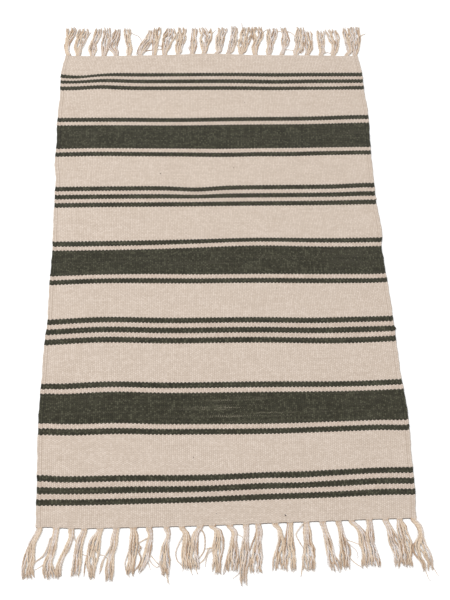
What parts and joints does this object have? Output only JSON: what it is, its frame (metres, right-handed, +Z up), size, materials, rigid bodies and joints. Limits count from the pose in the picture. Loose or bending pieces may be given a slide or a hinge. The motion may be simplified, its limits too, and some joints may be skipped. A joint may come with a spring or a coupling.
{
  "type": "bath mat",
  "caption": "Flat-woven cotton bath mat, pale with dark cross stripes in thin groups and wide bands, tasselled at both ends; folds in half across the middle.",
  "frame": {"origin": "on the underside, at the middle of the mat", "axes": "+X across the mat, along the weft; +Y along the mat, along the warp, towards the far fringe; +Z up, out of the top of the cloth"},
  "size_m": [0.627, 1.052, 0.004],
  "materials": {
    "cream_weft": "matte",
    "green_weft": "matte",
    "warp_cotton": "matte",
    "fringe_cotton": "matte"
  },
  "bodies": {
    "near_half": {"cream_field_1": "cream_weft", "triple_1_green_1": "green_weft", "triple_1_cream_1": "cream_weft", "triple_1_green_2": "green_weft", "triple_1_cream_2": "cream_weft", "triple_1_green_3": "green_weft", "cream_field_2": "cream_weft", "wide_1_edge_green_near": "green_weft", "wide_1_edge_cream_near": "cream_weft", "wide_1_green_band": "green_weft", "wide_1_edge_cream_far": "cream_weft", "wide_1_edge_green_far": "green_weft", "cream_field_3": "cream_weft", "triple_2_green_1": "green_weft", "triple_2_cream_1": "cream_weft", "triple_2_green_2": "green_weft", "triple_2_cream_2": "cream_weft", "triple_2_green_3": "green_weft", "cream_field_4": "cream_weft", "wide_2_edge_green_near": "green_weft", "wide_2_edge_cream_near": "cream_weft", "wide_2_green_band_near_half": "green_weft", "warp_sheet_near_half": "warp_cotton", "left_selvedge_cord_near_half": "warp_cotton", "right_selvedge_cord_near_half": "warp_cotton", "near_fringe_tassels": "fringe_cotton"},
    "far_half": {"cream_field_5": "cream_weft", "cream_field_6": "cream_weft", "cream_field_7": "cream_weft", "cream_field_8": "cream_weft", "far_fringe_tassels": "fringe_cotton", "left_selvedge_cord_far_half": "warp_cotton", "right_selvedge_cord_far_half": "warp_cotton", "triple_3_cream_1": "cream_weft", "triple_3_cream_2": "cream_weft", "triple_3_green_1": "green_weft", "triple_3_green_2": "green_weft", "triple_3_green_3": "green_weft", "triple_4_cream_1": "cream_weft", "triple_4_cream_2": "cream_weft", "triple_4_green_1": "green_weft", "triple_4_green_2": "green_weft", "triple_4_green_3": "green_weft", "warp_sheet_far_half": "warp_cotton", "wide_2_edge_cream_far": "cream_weft", "wide_2_edge_green_far": "green_weft", "wide_2_green_band_far_half": "green_weft", "wide_3_edge_cream_far": "cream_weft", "wide_3_edge_cream_near": "cream_weft", "wide_3_edge_green_far": "green_weft", "wide_3_edge_green_near": "green_weft", "wide_3_green_band": "green_weft"}
  },
  "joints": [
    {"name": "fold_in_half", "type": "hinge", "parent": "near_half", "child": "far_half", "pos_m": [0, 0, 0.00415], "axis": [1, 0, 0], "range_deg": [0, 180]}
  ]
}
